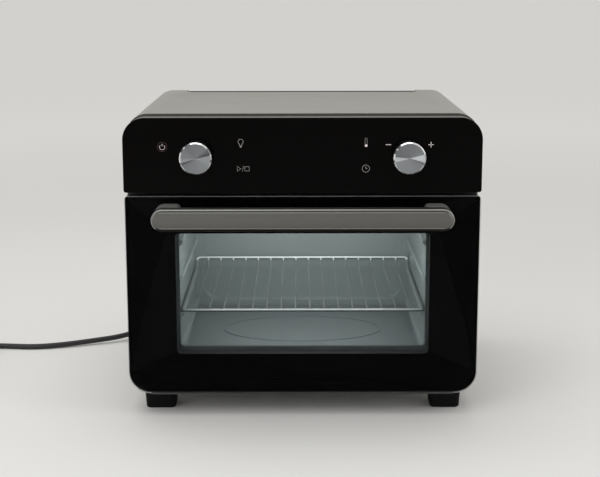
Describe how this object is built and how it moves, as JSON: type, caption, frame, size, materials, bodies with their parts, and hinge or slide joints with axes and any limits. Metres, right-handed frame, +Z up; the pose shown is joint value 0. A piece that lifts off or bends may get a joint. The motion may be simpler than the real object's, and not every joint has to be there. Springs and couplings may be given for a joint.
{
  "type": "mini oven",
  "caption": "Rounded countertop mini oven with a black glass drop-down door, bar handle, two turned knobs, wire rack, crumb tray and a fan heater above the cavity.",
  "frame": {"origin": "on the table under the middle of the oven's bounding box, its cord left out", "axes": "+X to the right seen from the front, -Y out of the door, +Z up"},
  "size_m": [0.712, 0.4705, 0.3421],
  "materials": {
    "casing_enamel": "satin",
    "zinc_sheet": "satin",
    "dark_steel": "satin",
    "cavity_enamel": "satin",
    "foot_rubber": "matte",
    "screw_steel": "satin",
    "rack_wire": "polished",
    "element_sheath": "satin",
    "fan_sheet": "satin",
    "shaft_steel": "satin",
    "motor_iron": "satin",
    "housing_grey": "satin",
    "black_glass": "polished",
    "clear_glass": "polished",
    "black_print": "gloss",
    "handle_metal": "satin",
    "handle_plate_metal": "satin",
    "knob_metal": "satin",
    "board_green": "matte",
    "dark_plastic": "matte",
    "lamp_ceramic": "satin",
    "lamp_glass": "polished",
    "cord_rubber": "matte"
  },
  "bodies": {
    "oven": {"outer_casing": "casing_enamel", "rear_panel": "zinc_sheet", "base_plate": "zinc_sheet", "foot_front_left": "foot_rubber", "foot_front_right": "foot_rubber", "foot_rear_left": "foot_rubber", "foot_rear_right": "foot_rubber", "foot_screws": "screw_steel", "front_plate": "dark_steel", "cavity_floor": "cavity_enamel", "cavity_ceiling": "cavity_enamel", "cavity_back": "cavity_enamel", "cavity_left": "cavity_enamel", "cavity_right": "cavity_enamel", "lamp_holder": "lamp_ceramic", "lamp_lens": "lamp_glass", "thermostat": "screw_steel", "wire_rack": "rack_wire", "crumb_tray": "cavity_enamel", "heater_duct": "zinc_sheet", "fan_guard": "cavity_enamel", "top_element": "element_sheath", "lower_element": "element_sheath", "motor_bridge": "zinc_sheet", "fan_motor": "motor_iron", "control_housing": "housing_grey", "control_glass": "black_glass", "control_board": "board_green", "encoder_left": "dark_plastic", "encoder_right": "dark_plastic", "power_board": "board_green", "terminal_block": "dark_plastic", "rear_screws": "screw_steel", "hinge_bracket_left": "zinc_sheet", "hinge_bracket_right": "zinc_sheet", "strain_relief": "dark_plastic", "power_cord": "cord_rubber", "cord_coil": "cord_rubber", "plug": "cord_rubber"},
    "door": {"door_glass_outer": "clear_glass", "door_backing": "black_print", "door_frame": "dark_steel", "door_glass_inner": "clear_glass", "door_back_cover": "dark_steel", "door_screws": "screw_steel", "hinge_pins": "screw_steel", "hinge_springs": "screw_steel", "handle_bar": "handle_metal", "handle_plate": "handle_plate_metal", "handle_bracket_left": "handle_metal", "handle_bracket_right": "handle_metal", "handle_screws": "screw_steel"},
    "knob_left": {"knob_left": "knob_metal", "knob_shaft_left": "shaft_steel"},
    "knob_right": {"knob_right": "knob_metal", "knob_shaft_right": "shaft_steel"},
    "fan": {"hot_air_fan": "fan_sheet", "cooling_fan": "fan_sheet", "fan_shaft": "shaft_steel"}
  },
  "joints": [
    {"name": "door_hinge", "type": "hinge", "parent": "oven", "child": "door", "pos_m": [0, -0.131, 0.0367], "axis": [1, 0, 0], "range_deg": [0, 80], "stiffness_Nm_per_rad": 0.6, "springref_deg": -42.97},
    {"name": "knob_left_turn", "type": "hinge", "parent": "oven", "child": "knob_left", "pos_m": [-0.116, -0.155, 0.2979], "axis": [0, -1, 0], "continuous": true},
    {"name": "knob_right_turn", "type": "hinge", "parent": "oven", "child": "knob_right", "pos_m": [0.116, -0.155, 0.2979], "axis": [0, -1, 0], "continuous": true},
    {"name": "fan_spin", "type": "hinge", "parent": "oven", "child": "fan", "pos_m": [0, 0.01375, 0.3], "axis": [0, 0, 1], "continuous": true}
  ]
}
